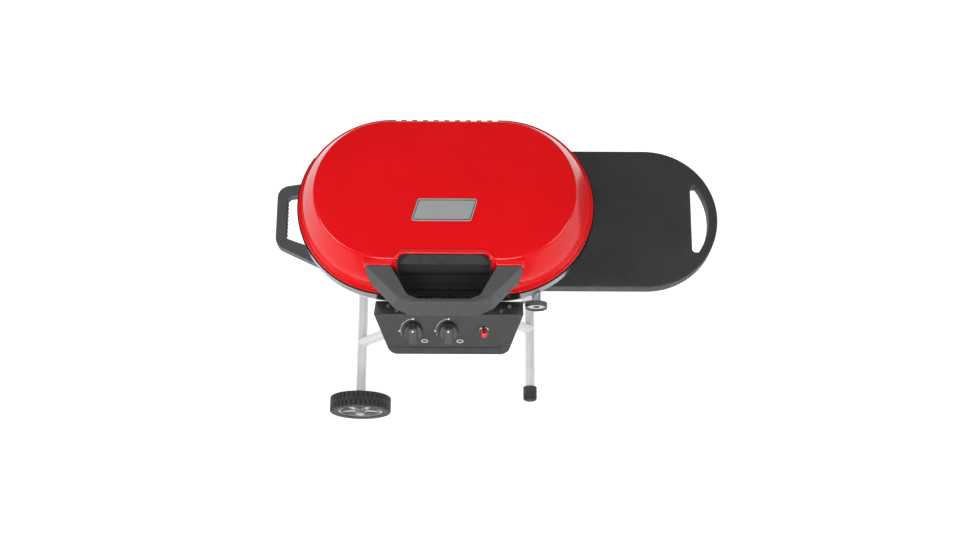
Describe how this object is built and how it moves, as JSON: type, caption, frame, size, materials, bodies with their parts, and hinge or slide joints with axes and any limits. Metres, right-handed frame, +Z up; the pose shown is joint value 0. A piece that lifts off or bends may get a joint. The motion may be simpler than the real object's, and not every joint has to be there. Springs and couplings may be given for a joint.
{
  "type": "portable gas grill",
  "caption": "Stand-up portable gas grill with round-ended hinged lid, sliding side table, carry handle, crossed folding legs and transport wheels.",
  "frame": {"origin": "on the floor, at the middle of the rectangle that the whole grill covers", "axes": "+X towards the side table, +Y to the back, +Z up"},
  "size_m": [0.979, 0.5884, 0.9074],
  "materials": {
    "lid_red": "gloss enamel",
    "matte_black_plastic": "fine moulded texture",
    "recess_black": "satin",
    "badge_metal": "brushed with blank face",
    "table_plastic": "coarse moulded grain",
    "black_enamel": "black enamel",
    "panel_black": "satin",
    "shell_silver": "silver paint",
    "leg_silver": "silver powder coat",
    "zinc_steel": "zinc plated",
    "burner_steel": "stainless",
    "grate_iron": "porcelain coated",
    "brass": "machined",
    "gas_aluminium": "satin",
    "ceramic_white": "glazed ceramic",
    "bezel_chrome": "polished",
    "button_red": "gloss",
    "foot_rubber": "moulded",
    "tyre_black": "blow-moulded tread",
    "hub_silver": "silver moulded"
  },
  "bodies": {
    "body": {"burner_basin": "black_enamel", "base_shell": "shell_silver", "water_pan": "black_enamel", "burner_left": "burner_steel", "burner_right": "burner_steel", "grate_left": "grate_iron", "grate_right": "grate_iron", "igniter_electrodes": "ceramic_white", "hinge_brackets": "zinc_steel", "hinge_pins": "zinc_steel", "console_face": "panel_black", "console_housing": "black_enamel", "console_screws": "zinc_steel", "console_clips": "black_enamel", "dial_rings": "panel_black", "gas_valves": "brass", "igniter_bezel": "bezel_chrome", "igniter_module": "matte_black_plastic", "inlet_collar": "matte_black_plastic", "gas_inlet": "gas_aluminium", "gas_manifold": "gas_aluminium", "table_rails": "zinc_steel", "chassis_tray": "zinc_steel", "chassis_uprights": "zinc_steel", "leg_pivot_brackets": "zinc_steel", "leg_hook_brackets": "zinc_steel", "leg_pivot_rod": "zinc_steel", "carry_handle": "matte_black_plastic"},
    "lid": {"lid_shell": "lid_red", "lid_recess_insert": "recess_black", "lid_handle": "matte_black_plastic", "lid_badge": "badge_metal", "lid_hinge_leaves": "zinc_steel", "lid_handle_screws": "zinc_steel"},
    "valve_stem_left": {"valve_stem_left": "zinc_steel"},
    "valve_stem_right": {"valve_stem_right": "zinc_steel"},
    "knob_left": {"knob_left": "matte_black_plastic"},
    "knob_right": {"knob_right": "matte_black_plastic"},
    "igniter_button": {"igniter_button": "button_red"},
    "table": {"side_table": "table_plastic", "table_runners": "zinc_steel"},
    "wheel_frame": {"wheel_leg_front": "leg_silver", "wheel_leg_rear": "leg_silver", "leg_pivot_tube": "leg_silver", "axle_tube": "leg_silver", "wheel_axle": "zinc_steel", "scissor_rod": "zinc_steel", "scissor_spacers": "zinc_steel", "scissor_nuts": "zinc_steel", "axle_caps": "hub_silver"},
    "foot_frame": {"foot_leg_front": "leg_silver", "foot_leg_rear": "leg_silver", "leg_top_bar": "leg_silver", "foot_bar": "leg_silver", "foot_cap_front": "foot_rubber", "foot_cap_rear": "foot_rubber"},
    "wheel_front": {"tyre_front": "tyre_black", "hub_front": "hub_silver"},
    "wheel_rear": {"tyre_rear": "tyre_black", "hub_rear": "hub_silver"}
  },
  "joints": [
    {"name": "lid_hinge", "type": "hinge", "parent": "body", "child": "lid", "pos_m": [-0.1125, 0.20469, 0.799], "axis": [-1, 0, 0], "range_deg": [0, 80]},
    {"name": "table_slide", "type": "slide", "parent": "body", "child": "table", "axis": [-1, 0, 0], "range_m": [0, 0.25]},
    {"name": "leg_fold", "type": "hinge", "parent": "body", "child": "wheel_frame", "pos_m": [0.0775, 0.00769, 0.634], "axis": [0, 1, 0], "range_deg": [0, 49]},
    {"name": "scissor", "type": "hinge", "parent": "wheel_frame", "child": "foot_frame", "pos_m": [-0.14912, 0.00769, 0.33346], "axis": [0, 1, 0], "range_deg": [-98, 0]},
    {"name": "wheel_front_spin", "type": "hinge", "parent": "wheel_frame", "child": "wheel_front", "pos_m": [-0.3425, -0.25331, 0.077], "axis": [0, 1, 0], "continuous": true},
    {"name": "wheel_rear_spin", "type": "hinge", "parent": "wheel_frame", "child": "wheel_rear", "pos_m": [-0.3425, 0.26869, 0.077], "axis": [0, 1, 0], "continuous": true},
    {"name": "knob_left_push", "type": "slide", "parent": "body", "child": "valve_stem_left", "axis": [0, 0.6805, -0.7328], "range_m": [0, 0.0025], "stiffness_N_per_m": 600, "springref_m": -0.001},
    {"name": "knob_left_turn", "type": "hinge", "parent": "valve_stem_left", "child": "knob_left", "pos_m": [-0.1805, -0.25089, 0.73846], "axis": [0, -0.6805, 0.7328], "range_deg": [0, 115]},
    {"name": "knob_right_push", "type": "slide", "parent": "body", "child": "valve_stem_right", "axis": [0, 0.6805, -0.7328], "range_m": [0, 0.0025], "stiffness_N_per_m": 600, "springref_m": -0.001},
    {"name": "knob_right_turn", "type": "hinge", "parent": "valve_stem_right", "child": "knob_right", "pos_m": [-0.1045, -0.25089, 0.73846], "axis": [0, -0.6805, 0.7328], "range_deg": [0, 115]},
    {"name": "igniter_push", "type": "slide", "parent": "body", "child": "igniter_button", "axis": [0, 0.6805, -0.7328], "range_m": [0, 0.005], "stiffness_N_per_m": 500, "springref_m": -0.001}
  ],
  "couplings": [
    {"joint": "scissor", "follows": "leg_fold", "ratio": -2}
  ]
}
